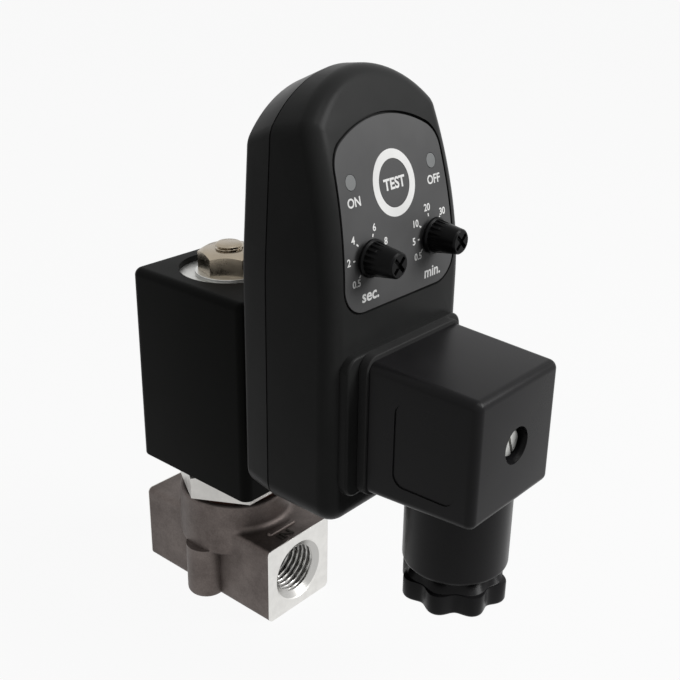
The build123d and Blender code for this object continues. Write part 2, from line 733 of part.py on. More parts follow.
def make_clips(start, blade_face):
    """Three female contacts, each a folded leaf round a blade that stands out of a face."""
    fold = blade_face + blade_out + clip_air
    gap = blade / 2 + clip_gap
    outer_t = gap + clip_leaf
    half_w = blade_width / 2
    clips = []
    for index in range(3):
        leaf = Box(fold + clip_leaf - start, 2 * outer_t, 2 * half_w)
        mouth = Pos(-clip_leaf, 0, 0) * Box(fold + clip_leaf - start, 2 * gap, 2 * half_w + 1)
        clip = leaf - mouth
        if index == 2:
            clip = Pos(0, 0, ground_rise) * Rot(90, 0, 0) * clip
        else:
            clip = Pos(0, (index * 2 - 1) * blade_pitch / 2, 0) * clip
        clips.append(Pos((start + fold + clip_leaf) / 2, 0, connector_z) * clip)
    return Compound(children=clips)


def make_case_screws():
    """Four screws that hold the two shells together."""
    screws = []
    for y, z in case_screw_points():
        head_x = timer_back + 0.6
        screw = cylinder_x(case_head_r, head_x, head_x + case_head, y, z)
        screw += cylinder_x(case_screw_r - 0.02, head_x, timer_back + case_screw_length, y, z)
        screw -= Pos(head_x, y, z) * Box(1.0, 0.6, case_head_r * 1.3)
        screw -= Pos(head_x, y, z) * Box(1.0, case_head_r * 1.3, 0.6)
        screws.append(screw)
    return Compound(children=screws)


# ---------------------------------------------------------------- plug
def plug_form(width, height, depth, start):
    """Drafted block that narrows away from the timer."""
    base = Plane(origin=(start, 0, connector_z), x_dir=(0, 1, 0), z_dir=(1, 0, 0)) * Rectangle(width, height)
    return extrude(base, depth, taper=plug_draft)


def make_plug_housing():
    """Plug cover with the gland's neck, the screw's tube and shallow panels on its sides."""
    cover = plug_form(plug_width, plug_height, plug_depth, plug_x)
    cover = fillet(cover.edges().filter_by(lambda e: e.bounding_box().max.X > plug_x + 1), plug_edge)
    neck = cylinder_z(neck_r, neck_low, plug_low + plug_wall, gland_x)
    neck = fillet(neck.edges().group_by(Axis.Z)[0], neck_rim)
    for side in (-1, 1):
        middle = plug_x + plug_depth / 2 + grip_panel_ahead
        panel = RectangleRounded(grip_panel_length, grip_panel_height, grip_panel_corner)
        lean = plug_draft if side < 0 else -plug_draft
        wall_y = side * (plug_width / 2 - math.tan(math.radians(plug_draft)) * (middle - plug_x))
        cut = Pos(middle, wall_y, connector_z - grip_panel_drop) * Rot(0, 0, lean) * (Plane.XZ * extrude(panel, grip_panel_depth, both=True))
        cover -= cut
    cover += neck
    cover -= plug_form(plug_width - 2 * plug_wall, plug_height - 2 * plug_wall, plug_depth - plug_wall, plug_x)
    tube_r_ = screw_hole_r + plug_wall
    inner = plug_x + plug_block_depth
    cover += cylinder_x(tube_r_, inner + 0.3, plug_end - 0.5, 0, connector_z)
    cover -= cylinder_x(screw_hole_r, screw_seat, plug_end + 1, 0, connector_z)
    cover -= cylinder_x(screw_r + screw_gap, plug_x, plug_end, 0, connector_z)
    seat_z_ = plug_low - 1.0
    cover -= cylinder_z(neck_r - neck_wall, neck_low - 1, seat_z_, gland_x)
    cover -= cylinder_z(grommet_r - 1.4, seat_z_ - 1, plug_low + plug_wall + 0.2, gland_x)
    return cover


def make_terminal_block():
    """Insulating block that carries the plug's contacts."""
    w = plug_width - 2 * plug_wall - 2 * plug_block_gap
    h_top = plug_height / 2 - plug_wall - plug_block_gap
    start, end = plug_x + 0.1, plug_x + plug_block_depth
    slope = math.tan(math.radians(plug_draft)) * plug_block_depth
    block = box_between(start, end, -w / 2 + slope, w / 2 - slope, connector_z - plug_block_low, connector_z + h_top - slope)
    block = fillet(block.edges().filter_by(Axis.X), 0.8)
    for index in range(3):
        block -= blade_box(start - 1, end - 1.2, index, clip_leaf + clip_gap + clip_pocket_gap)
    return block - cylinder_x(screw_r + screw_gap, start - 1, end + 1, 0, connector_z)


def make_terminal_screws():
    """Three clamping screws in the terminal block."""
    screws = []
    x = plug_x + plug_block_depth
    for y, z in ((-blade_pitch / 2, connector_z), (blade_pitch / 2, connector_z), (0, connector_z + ground_rise)):
        head = cylinder_x(terminal_screw_r + 0.7, x, x + 1.2, y, z)
        screws.append(head - Pos(x + 1.2, y, z) * Box(1.0, 0.5, terminal_screw_r * 3))
    return Compound(children=screws)


def make_plug_screw():
    """Long screw through plug and timer into the coil's insert."""
    head = cylinder_x(screw_head_r, screw_seat + screw_seal, screw_seat + screw_seal + screw_head, 0, connector_z)
    head = fillet(head.edges().group_by(Axis.X)[-1], 0.4)
    screw = head + cylinder_x(screw_r, insert_start + 0.5, screw_seat + screw_seal, 0, connector_z)
    return screw - Pos(screw_seat + screw_seal + screw_head, 0, connector_z) * Rot(20, 0, 0) * Box(2.0, screw_slot, screw_head_r * 3)


def make_screw_seal():
    """Rubber washer under the head of the long screw."""
    ring = cylinder_x(screw_hole_r - 0.3, screw_seat, screw_seat + screw_seal, 0, connector_z)
    return ring - cylinder_x(screw_r + 0.03, screw_seat - 1, screw_seat + screw_seal + 1, 0, connector_z)


# ---------------------------------------------------------------- gland
def make_gland_nut():
    """Lobed pressure nut that screws into the neck."""
    flange_top = gland_nut_low + gland_flange
    head = cylinder_z(gland_nut_r, gland_nut_low, flange_top, gland_x)
    reach = gland_nut_r + lobe_r - lobe_depth
    for n in range(gland_lobes):
        a = math.radians(lobe_turn + 360 * (n + 0.5) / gland_lobes)
        x, y = gland_x + reach * math.cos(a), reach * math.sin(a)
        head -= cylinder_z(lobe_r, gland_nut_low - 1, flange_top + 1, x, y)
    head = fillet(head.edges().group_by(Axis.Z)[0], lobe_edge)
    collar = Polyline((0, flange_top - 1), (gland_collar_r, flange_top - 1), (gland_collar_r, flange_top),
                      (gland_collar_top_r, gland_nut_top), (0, gland_nut_top), close=True)
    head += Pos(gland_x, 0, 0) * revolve(Plane.XZ * make_face(collar), Axis.Z)
    spigot_top = plug_low - 1.0 - grommet - gland_washer - 0.1
    head += cylinder_z(neck_r - neck_wall - gland_thread_gap, gland_nut_top - 1, spigot_top, gland_x)
    return head - cylinder_z(nut_bore_r, gland_nut_low - 1, spigot_top + 1, gland_x)


def make_gland_washer():
    """Slip washer between the pressure nut and the grommet."""
    top = plug_low - 1.0 - grommet
    return cylinder_z(grommet_r, top - gland_washer, top, gland_x) - cylinder_z(nut_bore_r, 0, top + 1, gland_x)


def make_gland_grommet():
    """Rubber grommet that grips the cable."""
    top = plug_low - 1.0
    return cylinder_z(grommet_r, top - grommet, top, gland_x) - cylinder_z(cable_r, 0, top + 1, gland_x)


makers = {
    "valve_body": make_valve_body,
    "body_seal_ring": make_body_seal,
    "bonnet": make_bonnet,
    "guide_tube": make_guide_tube,
    "fixed_core": make_fixed_core,
    "plunger": make_plunger,
    "plunger_seal": make_plunger_seal,
    "plunger_spring": make_plunger_spring,
    "coil_yoke": make_coil_yoke,
    "coil_bobbin": make_bobbin,
    "coil_winding": make_winding,
    "coil_housing": make_coil_housing,
    "coil_terminals": lambda: make_blades(pedestal_x, blade_root),
    "coil_screw_insert": make_coil_insert,
    "coil_washer": make_coil_washer,
    "coil_nut": make_coil_nut,
    "timer_gasket": lambda: make_gasket(pedestal_x, gasket, gasket_size),
    "timer_rear_shell": make_timer_rear_shell,
    "timer_front_shell": make_timer_front_shell,
    "timer_sockets": lambda: make_clips(timer_back + timer_wall / 2 + 0.1, pedestal_x),
    "timer_pins": lambda: make_blades(boss_x, boss_x - board_front),
    "timer_board": make_board,
    "board_parts": make_board_parts,
    "potentiometers": make_pots,
    "tact_switch": make_tact_switch,
    "on_lamp": lambda: make_lamp(-1),
    "off_lamp": lambda: make_lamp(1),
    "label_panel": make_label_panel,
    "test_button": make_test_button,
    "seconds_knob": lambda: make_knob(-1),
    "minutes_knob": lambda: make_knob(1),
    "timer_case_screws": make_case_screws,
    "plug_gasket": lambda: make_gasket(boss_x, plug_gasket, gasket_size),
    "plug_housing": make_plug_housing,
    "plug_terminal_block": make_terminal_block,
    "plug_contacts": lambda: make_clips(plug_x + 0.3, boss_x),
    "plug_terminal_screws": make_terminal_screws,
    "plug_screw": make_plug_screw,
    "plug_screw_seal": make_screw_seal,
    "gland_nut": make_gland_nut,
    "gland_washer": make_gland_washer,
    "gland_grommet": make_gland_grommet,
}

os.makedirs("parts", exist_ok=True)
for name, make in makers.items():
    solid = make()
    export_step(solid, f"parts/{name}.step")
    box = solid.bounding_box()
    print(f"{name:22s} {solid.volume:10.1f} mm3  x {box.min.X:6.2f} {box.max.X:6.2f}"
          f"  y {box.min.Y:6.2f} {box.max.Y:6.2f}  z {box.min.Z:6.2f} {box.max.Z:6.2f}")
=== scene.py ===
"""Looks of an automatic drain valve: finishes, threads, print and edges over its CAD frame.

The row frame is in metres: +Z up along the armature, +X towards the inlet and the timer's
front, and the origin on the armature axis in the plane that the valve body stands on.
"""
import json
import math

import bmesh
import bpy
import numpy as np
from bpy.props import FloatProperty, FloatVectorProperty, IntProperty, PointerProperty
from mathutils import Matrix, Vector


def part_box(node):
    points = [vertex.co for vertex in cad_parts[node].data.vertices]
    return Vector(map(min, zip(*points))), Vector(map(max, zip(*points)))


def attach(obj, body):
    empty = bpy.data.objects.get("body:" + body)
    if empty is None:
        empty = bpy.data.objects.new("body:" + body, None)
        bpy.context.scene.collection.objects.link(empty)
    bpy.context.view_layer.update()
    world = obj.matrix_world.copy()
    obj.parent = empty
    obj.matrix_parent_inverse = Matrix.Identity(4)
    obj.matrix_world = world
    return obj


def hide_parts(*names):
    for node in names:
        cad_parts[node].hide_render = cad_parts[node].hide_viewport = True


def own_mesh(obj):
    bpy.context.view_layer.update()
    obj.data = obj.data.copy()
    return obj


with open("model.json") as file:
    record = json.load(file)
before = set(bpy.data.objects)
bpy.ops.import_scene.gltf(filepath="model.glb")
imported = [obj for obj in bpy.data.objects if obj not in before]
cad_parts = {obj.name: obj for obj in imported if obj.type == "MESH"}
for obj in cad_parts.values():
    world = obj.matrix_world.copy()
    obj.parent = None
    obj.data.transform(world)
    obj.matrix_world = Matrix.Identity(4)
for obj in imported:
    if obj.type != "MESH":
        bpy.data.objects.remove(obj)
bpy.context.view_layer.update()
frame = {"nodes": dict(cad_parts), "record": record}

bl_info = {
    "name": "Automatic drain valve",
    "version": (1, 0, 0),
    "blender": (4, 5, 0),
    "location": "View3D > Sidebar > Drain Valve",
    "description": "Dresses the drain valve's CAD frame with finishes, threads, print and rounded edges",
    "category": "Object",
}

MM = 0.001
RECORD_BODIES = frame["record"]["behaviour"]["bodies"]
BODY_OF = {node: body for body, nodes in RECORD_BODIES.items() for node in nodes}

# Places on the product, in millimetres, that the print and the added surfaces need
PORT_AXIS_Z = 9.5
PORT_BORE_R = 5.72
PORT_BORE_START = 9.6
PORT_BORE_END = 19.4
BLOCK_TOP = 19.0
STUD_R = 3.0
STUD_FOOT = 77.4
STUD_TOP = 84.2
FACE_X = 47.1
FACE_BEND_Z = 83.2
FACE_RADIUS = 92.2
BUTTON_Z = 105.3
LAMP_Y = 11.7
LAMP_WORD_Z = 104.0
KNOB_Y = 9.4
KNOB_Z = 93.8

# The gland nut: its lobed flange, the collar above that and the spigot in the neck
NUT_R = 10.75
NUT_RIM = 0.8           # rounding of the lower rim
NUT_FLANGE = 4.6        # height of the lobed part
NUT_HEAD = 6.5          # height of lobes and collar
NUT_COLLAR_R = 9.95
NUT_COLLAR_TOP_R = 8.7
NUT_BORE_R = 5.2
NUT_SPIGOT_R = 8.12
NUT_LOBES = 8
NUT_TURN = 15.0         # degrees from +X to a lobe
NUT_HOLLOW = 1.6        # depth between two lobes
NUT_WIDE = 1.15         # above 1, lobes wider than hollows

# The studio, in metres and degrees
CAMERA_PLACE = (0.160285, -0.149549, 0.15449)
CAMERA_TURN = (40.634, 23.08, 0.914)    # azimuth, elevation and roll
LAMP_TARGET = (0.03, 0, 0.08)
LAMPS = (               # name, place, target, side
    ("key", (0.46, 0.26, 0.42), LAMP_TARGET, 0.3),
    ("top", (0.26, 0.0, 0.53), LAMP_TARGET, 0.2),
    ("fill", (0.18, -0.52, 0.22), (0.02, 0, 0.07), 0.4),
)


def colour_setting(name, description, value):
    """A colour that a user may change."""
    return FloatVectorProperty(name=name, description=description, default=value, size=3,
                               min=0.0, max=1.0, subtype="COLOR")


def length_setting(name, description, millimetres):
    """A length that a user may change, kept in metres."""
    return FloatProperty(name=name, description=description, default=millimetres * MM,
                         min=0.0, soft_max=0.05, precision=5, unit="LENGTH")


class ValveFinishes(bpy.types.PropertyGroup):
    """Colours of the valve's finishes."""
    casting: colour_setting("Casting", "Blasted skin of the stainless casting", (0.150, 0.128, 0.119))
    casting_shade: colour_setting("Casting shade", "Darker patches of the casting", (0.074, 0.061, 0.056))
    machined: colour_setting("Machined steel", "Faced ends and threads of the ports", (0.78, 0.77, 0.745))
    stainless: colour_setting("Stainless", "Bonnet, tube and core", (0.52, 0.51, 0.49))
    zinc: colour_setting("Zinc plate", "Washer, yoke and screws", (0.62, 0.62, 0.6))
    nickel: colour_setting("Nickelled brass", "Coil nut", (0.36, 0.31, 0.24))
    coil: colour_setting("Coil moulding", "Moulded block round the winding", (0.0062, 0.0064, 0.0059))
    timer: colour_setting("Timer moulding", "Both shells of the timer", (0.0185, 0.0188, 0.0186))
    plug: colour_setting("Plug moulding", "Cable plug and gland", (0.0095, 0.0092, 0.0098))
    label: colour_setting("Label", "Ground of the printed label", (0.071, 0.071, 0.0715))
    ink: colour_setting("Ink", "Print on the label", (0.68, 0.68, 0.67))
    lamp: colour_setting("Lamp", "Unlit lens of the lamps", (0.15, 0.155, 0.155))
    gasket: colour_setting("Gasket", "Profile seals under timer and plug", (0.022, 0.022, 0.022))
    body_seal: colour_setting("Body seal", "Ring under the bonnet", (0.060, 0.022, 0.014))


class ValveDetails(bpy.types.PropertyGroup):
    """Sizes of the details that are added to the CAD frame."""
    edge: length_setting("Edge rounding", "Rounding of the sharp metal and moulded edges", 0.14)
    thread_pitch: length_setting("Port thread pitch", "Pitch of the G1/4 thread", 1.337)
    thread_depth: length_setting("Port thread depth", "Depth of the G1/4 thread", 0.86)
    stud_pitch: length_setting("Stud thread pitch", "Pitch of the coil nut's thread", 0.8)
    stud_depth: length_setting("Stud thread depth", "Depth of the coil nut's thread", 0.42)
    ink_height: length_setting("Ink thickness", "Thickness of the print", 0.03)
    ring_inner: length_setting("Ring inner radius", "Inner radius of the printed ring", 4.35)
    ring_outer: length_setting("Ring outer radius", "Outer radius of the printed ring", 6.0)
    word_height: length_setting("Word height", "Height of the words' capitals", 1.7)
    number_height: length_setting("Number height", "Height of the dial numbers", 1.4)
    dial_radius: length_setting("Dial radius", "From a knob's axis to its numbers", 5.45)
    cast_relief: length_setting("Cast relief", "Height of the cast marks", 0.3)
    round_steps: IntProperty(name="Round steps", description="Sides of a turned surface",
                             default=96, min=24, max=256)


class StudioSettings(bpy.types.PropertyGroup):
    """Lamps, floor and camera."""
    key_power: FloatProperty(name="Key lamp", description="Power of the key lamp", default=3.7, min=0.0,
                             unit="POWER")
    top_power: FloatProperty(name="Top lamp", description="Power of the overhead lamp", default=0.55, min=0.0,
                             unit="POWER")
    fill_power: FloatProperty(name="Fill lamp", description="Power of the fill lamp", default=0.06, min=0.0,
                              unit="POWER")
    world_level: FloatProperty(name="World level", description="Strength of the light from all round",
                               default=0.08, min=0.0, max=1.0)
    floor: colour_setting("Floor", "Colour of the floor", (0.45, 0.45, 0.45))
    lens: FloatProperty(name="Lens", description="Focal length of the camera", default=0.05607, unit="CAMERA")


# ---------------------------------------------------------------- surfaces
def grid_faces(rows, columns, wrap=True):
    """Quads between the neighbouring points of a rows x columns grid, closed across the columns if wrap."""
    row, column = np.meshgrid(np.arange(rows - 1), np.arange(columns if wrap else columns - 1), indexing="ij")
    beside = (column + 1) % columns
    corners = [row * columns + column, row * columns + beside, (row + 1) * columns + beside,
               (row + 1) * columns + column]
    return np.stack(corners, axis=-1).reshape(-1, 4)


def mesh_object(name, points, faces, smooth_angle=35.0):
    """An object from an array of points in millimetres and an array of quads.
    Points that fall together are merged, so that poles close, and faces are turned outwards."""
    mesh = bpy.data.meshes.new(name)
    mesh.from_pydata((points.reshape(-1, 3) * MM).tolist(), [], faces.tolist())
    work = bmesh.new()
    work.from_mesh(mesh)
    bmesh.ops.remove_doubles(work, verts=work.verts, dist=1e-7)
    bmesh.ops.recalc_face_normals(work, faces=work.faces)
    work.to_mesh(mesh)
    work.free()
    return add_object(name, mesh, smooth_angle)


def add_object(name, mesh, smooth_angle=35.0):
    """Links a mesh as an object at the origin, smooth except over its sharp edges."""
    mesh.validate()
    mesh.shade_smooth()
    mesh.set_sharp_from_angle(angle=math.radians(smooth_angle))
    obj = bpy.data.objects.new(name, mesh)
    bpy.context.scene.collection.objects.link(obj)
    return obj


def face_x(height):
    """X of the timer's front at heights in millimetres: flat below the bend, a circle's arc above it."""
    rise = np.maximum(0.0, np.asarray(height) - FACE_BEND_Z)
    return FACE_X - FACE_RADIUS + np.sqrt(FACE_RADIUS ** 2 - rise ** 2)


def thread_profile(turn):
    """Depth from 0 on a crest to 1 in a root, at a phase of whole turns: flat-sided, with short lands."""
    phase = np.abs(2 * (turn % 1.0) - 1)
    ramp = np.clip((phase - 0.13) / 0.74, 0, 1)
    return 1 - ramp


def screw_wall(start, end, radius, depth, pitch, fade, steps):
    """Grid of (along, angle) and the wall's radius there: the radius changes by the thread's depth times
    the profile of (along / pitch - angle / turn), fading out at both ends."""
    along = np.linspace(start, end, int(abs(end - start) / pitch * 14) + 2)
    angle = np.arange(steps) * 2 * math.pi / steps
    s, a = np.meshgrid(along, angle, indexing="ij")
    ends = np.clip(np.minimum(s - min(start, end), max(start, end) - s) / fade, 0, 1)
    return s, a, radius + depth * thread_profile(s / pitch - a / (2 * math.pi)) * ends


# ---------------------------------------------------------------- copies of the CAD nodes
def dress(name, slot, edge=0.0, angle=32.0, edit=None, merge=True):
    """Copies a CAD node's mesh, merges its loose triangles, joins its flat ones and rounds its edges."""
    mesh = frame["nodes"][name].data.copy()
    mesh.name = name + "_looks"
    work = bmesh.new()
    work.from_mesh(mesh)
    bmesh.ops.remove_doubles(work, verts=work.verts, dist=5e-7)
    if edit:
        edit(work)
    if merge:
        bmesh.ops.dissolve_limit(work, angle_limit=math.radians(0.3), verts=work.verts, edges=work.edges)
    work.to_mesh(mesh)
    work.free()
    if mesh.has_custom_normals:
        mesh.attributes.remove(mesh.attributes["custom_normal"])
    obj = add_object(name + "_looks", mesh)
    paint(obj, slot)
    if edge > 0:
        bevel = obj.modifiers.new("Edges", "BEVEL")
        bevel.width = edge
        bevel.segments = 2
        bevel.limit_method = "ANGLE"
        bevel.angle_limit = math.radians(angle)
        bevel.use_clamp_overlap = True
        bevel.harden_normals = True
        bevel.miter_outer = "MITER_ARC"
    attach(obj, BODY_OF[name])
    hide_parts(name)
    return obj


def finish(name):
    """The material that was made for a finish; the frame's own plain one has the bare name."""
    return bpy.data.materials[name + "_finish"]


def paint(obj, slot, material=None):
    """Gives an object one finish: the material's if one is given, else the slot's."""
    obj.data.materials.clear()
    obj.data.materials.append(finish(material or slot))


def finish_nodes(slots):
    """Gives hidden CAD nodes their finish and leaves their meshes as they are."""
    for name, slot in slots.items():
        node = frame["nodes"][name]
        node.data.materials.clear()
        node.data.materials.append(finish(slot))


def hold(obj, name):
    """Lets an added piece ride with the body of a CAD node."""
    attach(obj, BODY_OF[name])
    return obj


# ---------------------------------------------------------------- finishes
def new_group(name, inputs, outputs):
    """An empty shader node group with number inputs and outputs."""
    group = bpy.data.node_groups.new(name, "ShaderNodeTree")
    for label, value in inputs.items():
        socket = group.interface.new_socket(name=label, in_out="INPUT", socket_type="NodeSocketFloat")
        socket.default_value = value
    for label in outputs:
        group.interface.new_socket(name=label, in_out="OUTPUT", socket_type="NodeSocketFloat")
    return group, group.nodes.new("NodeGroupInput"), group.nodes.new("NodeGroupOutput")


def math_node(tree, operation, first, second=None):
    """A Math node whose inputs are sockets or numbers; gives its output."""
    node = tree.nodes.new("ShaderNodeMath")
    node.operation = operation
    for index, value in enumerate((first, second)):
        if value is None:
            continue
        if isinstance(value, bpy.types.NodeSocket):
            tree.links.new(value, node.inputs[index])
        else:
            node.inputs[index].default_value = value
    return node.outputs[0]


def noise(tree, place, scale, detail=2.0, roughness=0.5):
    """Noise over a place, with its scale as a socket or a number; gives its value."""
    node = tree.nodes.new("ShaderNodeTexNoise")
    tree.links.new(place, node.inputs["Vector"])
    if isinstance(scale, bpy.types.NodeSocket):
        tree.links.new(scale, node.inputs["Scale"])
    else:
        node.inputs["Scale"].default_value = scale
    node.inputs["Detail"].default_value = detail
    node.inputs["Roughness"].default_value = roughness
    return node.outputs["Fac"]


def stretch(tree, value, low, high, to_low=0.0, to_high=1.0):
    """A Map Range node; gives its output."""
    node = tree.nodes.new("ShaderNodeMapRange")
    tree.links.new(value, node.inputs["Value"])
    for label, number in (("From Min", low), ("From Max", high), ("To Min", to_low), ("To Max", to_high)):
        node.inputs[label].default_value = number
    return node.outputs["Result"]


def build_grain_group():
    """Moulded surface: fine spark-eroded grain as Height, and slow uneven gloss as Tone."""
    group, start, end = new_group("Moulded grain", {"Grain Scale": 2600.0, "Blotch Scale": 70.0},
                                  ("Height", "Tone"))
    place = group.nodes.new("ShaderNodeTexCoord").outputs["Object"]
    fine = noise(group, place, start.outputs["Grain Scale"], 3.0, 0.6)
    group.links.new(fine, end.inputs["Height"])
    slow = noise(group, place, start.outputs["Blotch Scale"], 3.0, 0.55)
    group.links.new(stretch(group, slow, 0.3, 0.7), end.inputs["Tone"])
    return group


def build_cast_group():
    """Blasted casting: pits and a slow waviness as Height, and stained patches as Tone."""
    group, start, end = new_group("Blasted casting", {"Pit Scale": 2400.0, "Wave Scale": 240.0},
                                  ("Height", "Tone"))
    place = group.nodes.new("ShaderNodeTexCoord").outputs["Object"]
    pits = noise(group, place, start.outputs["Pit Scale"], 4.0, 0.65)
    waves = noise(group, place, start.outputs["Wave Scale"], 2.0, 0.5)
    waviness = math_node(group, "MULTIPLY", waves, 1.6)
    group.links.new(math_node(group, "ADD", pits, waviness), end.inputs["Height"])
    patches = noise(group, place, 130.0, 5.0, 0.65)
    speckle = math_node(group, "MULTIPLY", pits, 0.5)
    group.links.new(stretch(group, math_node(group, "ADD", patches, speckle), 0.5, 0.95), end.inputs["Tone"])
    return group


def build_turning_group():
    """Marks of a lathe: rings round an axis along X at a given height, as Height, and their
    slow streaks as Tone."""
    group, start, end = new_group("Turning marks", {"Axis Height": PORT_AXIS_Z * MM, "Rings": 5200.0},
                                  ("Height", "Tone", "Radius", "Along"))
    place = group.nodes.new("ShaderNodeTexCoord").outputs["Object"]
    apart = group.nodes.new("ShaderNodeSeparateXYZ")
    group.links.new(place, apart.inputs[0])
    rise = math_node(group, "SUBTRACT", apart.outputs["Z"], start.outputs["Axis Height"])
    square = math_node(group, "ADD", math_node(group, "MULTIPLY", apart.outputs["Y"], apart.outputs["Y"]),
                       math_node(group, "MULTIPLY", rise, rise))
    radius = math_node(group, "SQRT", square)
    rings = math_node(group, "SINE", math_node(group, "MULTIPLY", radius, start.outputs["Rings"]))
    group.links.new(rings, end.inputs["Height"])
    group.links.new(radius, end.inputs["Radius"])
    group.links.new(math_node(group, "ABSOLUTE", apart.outputs["X"]), end.inputs["Along"])
    group.links.new(stretch(group, noise(group, place, 420.0, 3.0, 0.6), 0.3, 0.7), end.inputs["Tone"])
    return group


def seen_ray(tree):
    """1 on rays from the camera and on those that it sees by reflection or through glass, else 0."""
    path = tree.nodes.new("ShaderNodeLightPath").outputs
    direct = math_node(tree, "MAXIMUM", path["Is Camera Ray"], path["Is Glossy Ray"])
    return math_node(tree, "MAXIMUM", direct, path["Is Transmission Ray"])


def new_material(name):
    """An empty material with its Principled shader."""
    material = bpy.data.materials.new(name + "_finish")
    material.use_nodes = True
    return material, material.node_tree, material.node_tree.nodes["Principled BSDF"]


def place_group(tree, group, **values):
    """Places a node group in a material with its own values."""
    node = tree.nodes.new("ShaderNodeGroup")
    node.node_tree = bpy.data.node_groups[group]
    for label, value in values.items():
        node.inputs[label.replace("_", " ")].default_value = value
    return node


def mix_colours(tree, factor, first, second):
    """Mixes two colours, each a socket or three numbers, by a factor that varies over the surface."""
    node = tree.nodes.new("ShaderNodeMix")
    node.data_type = "RGBA"
    tree.links.new(factor, node.inputs["Factor"])
    for socket, value in ((node.inputs[6], first), (node.inputs[7], second)):
        if isinstance(value, bpy.types.NodeSocket):
            tree.links.new(value, socket)
        else:
            socket.default_value = (*value, 1.0)
    return node.outputs[2]


def bump(tree, height, distance, strength, shader):
    """Feeds a height to the shader's normal."""
    node = tree.nodes.new("ShaderNodeBump")
    node.inputs["Distance"].default_value = distance
    node.inputs["Strength"].default_value = strength
    tree.links.new(height, node.inputs["Height"])
    tree.links.new(node.outputs["Normal"], shader.inputs["Normal"])


def shade(colour, factor):
    """A colour made darker or lighter."""
    return tuple(min(1.0, channel * factor) for channel in colour)


def drift(tree, shader, tone, dark, light, roughness, spread):
    """Lets a tone carry the colour from dark to light, and the roughness by a spread to either side."""
    tree.links.new(mix_colours(tree, tone, dark, light), shader.inputs["Base Color"])
    gloss = stretch(tree, tone, 0.0, 1.0, roughness - spread, roughness + spread)
    tree.links.new(gloss, shader.inputs["Roughness"])


def moulded(name, colour, roughness, grain=2600.0, depth=0.02, specular=0.12, strength=0.35):
    """Moulded plastic, rubber or paint with grain and uneven gloss."""
    material, tree, shader = new_material(name)
    group = place_group(tree, "Moulded grain", Grain_Scale=grain)
    tone = group.outputs["Tone"]
    drift(tree, shader, tone, shade(colour, 0.88), shade(colour, 1.12), roughness, 0.035)
    bump(tree, group.outputs["Height"], depth * MM, strength, shader)
    shader.inputs["Specular IOR Level"].default_value = specular
    return material


def metal(name, colour, roughness, grain=900.0, depth=0.006):
    """Plain machined or plated metal with slightly uneven gloss."""
    material, tree, shader = new_material(name)
    group = place_group(tree, "Moulded grain", Grain_Scale=grain, Blotch_Scale=260.0)
    tone = group.outputs["Tone"]
    drift(tree, shader, tone, shade(colour, 0.86), shade(colour, 1.08), roughness, 0.06)
    bump(tree, group.outputs["Height"], depth * MM, 0.4, shader)
    shader.inputs["Metallic"].default_value = 1.0
    return material


def cast_steel(name, looks):
    """Blasted casting whose port ends and threads are machined bright; the threads inside the bores are
    darkened, as painted shade.
    """
    material, tree, shader = new_material(name)
    cast = place_group(tree, "Blasted casting")
    turned = place_group(tree, "Turning marks")
    on_end = math_node(tree, "GREATER_THAN", turned.outputs["Along"], 20.4 * MM)
    in_port = math_node(tree, "MULTIPLY", math_node(tree, "LESS_THAN", turned.outputs["Radius"], 7.3 * MM),
                        math_node(tree, "GREATER_THAN", turned.outputs["Along"], 5.0 * MM))
    bright = math_node(tree, "MAXIMUM", on_end, in_port)
    skin = mix_colours(tree, cast.outputs["Tone"], looks.casting_shade, looks.casting)
    faced = mix_colours(tree, turned.outputs["Tone"], shade(looks.machined, 0.9), looks.machined)
    # The threads inside the bores take the machined colour at 0.62: painted shade in the bores.
    faced = mix_colours(tree, on_end, shade(looks.machined, 0.62), faced)
    tree.links.new(mix_colours(tree, bright, skin, faced), shader.inputs["Base Color"])
    tree.links.new(stretch(tree, bright, 0.0, 1.0, 0.52, 0.3), shader.inputs["Roughness"])
    dull = math_node(tree, "SUBTRACT", 1.0, bright)
    skin_height = math_node(tree, "MULTIPLY", cast.outputs["Height"], dull)
    ring_depth = math_node(tree, "MULTIPLY", on_end, 0.05)
    ring_height = math_node(tree, "MULTIPLY", turned.outputs["Height"], ring_depth)
    bump(tree, math_node(tree, "ADD", skin_height, ring_height), 0.05 * MM, 0.55, shader)
    shader.inputs["Metallic"].default_value = 1.0
    return material


def build_finishes(looks):
    """All the finishes, named as the record's slots, plus the ink and the painted shade for the cast letters.
    """
    build_grain_group()
    build_cast_group()
    build_turning_group()
    cast_steel("cast_stainless", looks)
    metal("stainless", looks.stainless, 0.34)
    # Dark colour for the cast letters: painted shade.
    metal("cast_mark", (0.045, 0.04, 0.035), 0.6)
    metal("zinc_steel", looks.zinc, 0.32)
    metal("nickel_brass", looks.nickel, 0.28)
    metal("brass", (0.58, 0.42, 0.20), 0.35)
    metal("copper", (0.62, 0.26, 0.13), 0.35)
    metal("yoke_steel", shade(looks.zinc, 0.95), 0.4)
    metal("contact_tin", (0.66, 0.66, 0.64), 0.3)
    moulded("seal_rubber", looks.body_seal, 0.6)
    moulded("black_rubber", (0.02, 0.02, 0.02), 0.7)
    moulded("grey_rubber", looks.gasket, 0.65)
    moulded("coil_black", looks.coil, 0.45, 1900.0, 0.03, 0.03)
    moulded("timer_black", looks.timer, 0.34, 2300.0, 0.022, 0.05)
    moulded("plug_black", looks.plug, 0.3, 2600.0, 0.012, 0.1)
    moulded("label_grey", looks.label, 0.5, 3600.0, 0.012)
    moulded("lamp_grey", looks.lamp, 0.28, 900.0, 0.002, 0.5)
    moulded("knob_black", (0.004, 0.004, 0.0042), 0.3, 2600.0, 0.008, 0.07)
    moulded("bobbin_white", (0.6, 0.58, 0.52), 0.5)
    moulded("board_green", (0.03, 0.16, 0.06), 0.4)
    moulded("relay_blue", (0.03, 0.08, 0.2), 0.4)
    moulded("pot_blue", (0.05, 0.14, 0.35), 0.4)
    moulded("ink", looks.ink, 0.5, 3600.0, 0.004)


